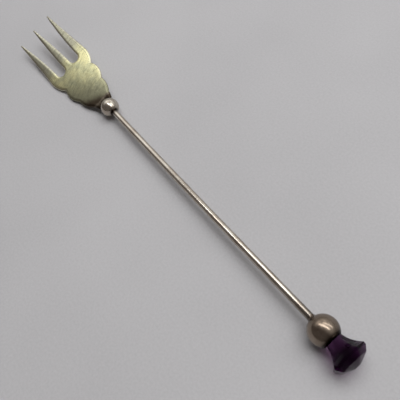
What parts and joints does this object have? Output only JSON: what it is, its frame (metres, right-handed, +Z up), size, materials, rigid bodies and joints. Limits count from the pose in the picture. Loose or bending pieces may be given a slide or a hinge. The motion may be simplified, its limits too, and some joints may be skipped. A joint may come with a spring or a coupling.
{
  "type": "pickle fork",
  "caption": "Slender silver pickle fork: a gilt, lobed blade with tapered tines, a bead at its heel, a round stem, and a thistle end made of a hollow bulb and a flared purple stone.",
  "frame": {"origin": "on the table, under the middle of the fork's box as it lies at rest", "axes": "+X along the fork from the tines to the stone, +Y across it, +Z up from the table"},
  "size_m": [0.1742, 0.019, 0.0098],
  "materials": {
    "silver": "worn polished silver with a warm tarnish",
    "gilt": "pale gilding on silver, rubbed and tarnished at the heel",
    "amethyst": "polished, faceted, dark purple",
    "cement": "matt"
  },
  "bodies": {
    "root": {"fork_blade": "gilt", "bead_blade_half": "silver", "bead_stem_half": "silver", "stem": "silver", "bulb_stem_half": "silver", "bulb_stone_half": "silver", "stone_collet": "silver", "setting_cement": "cement", "thistle_stone": "amethyst"}
  },
  "joints": []
}
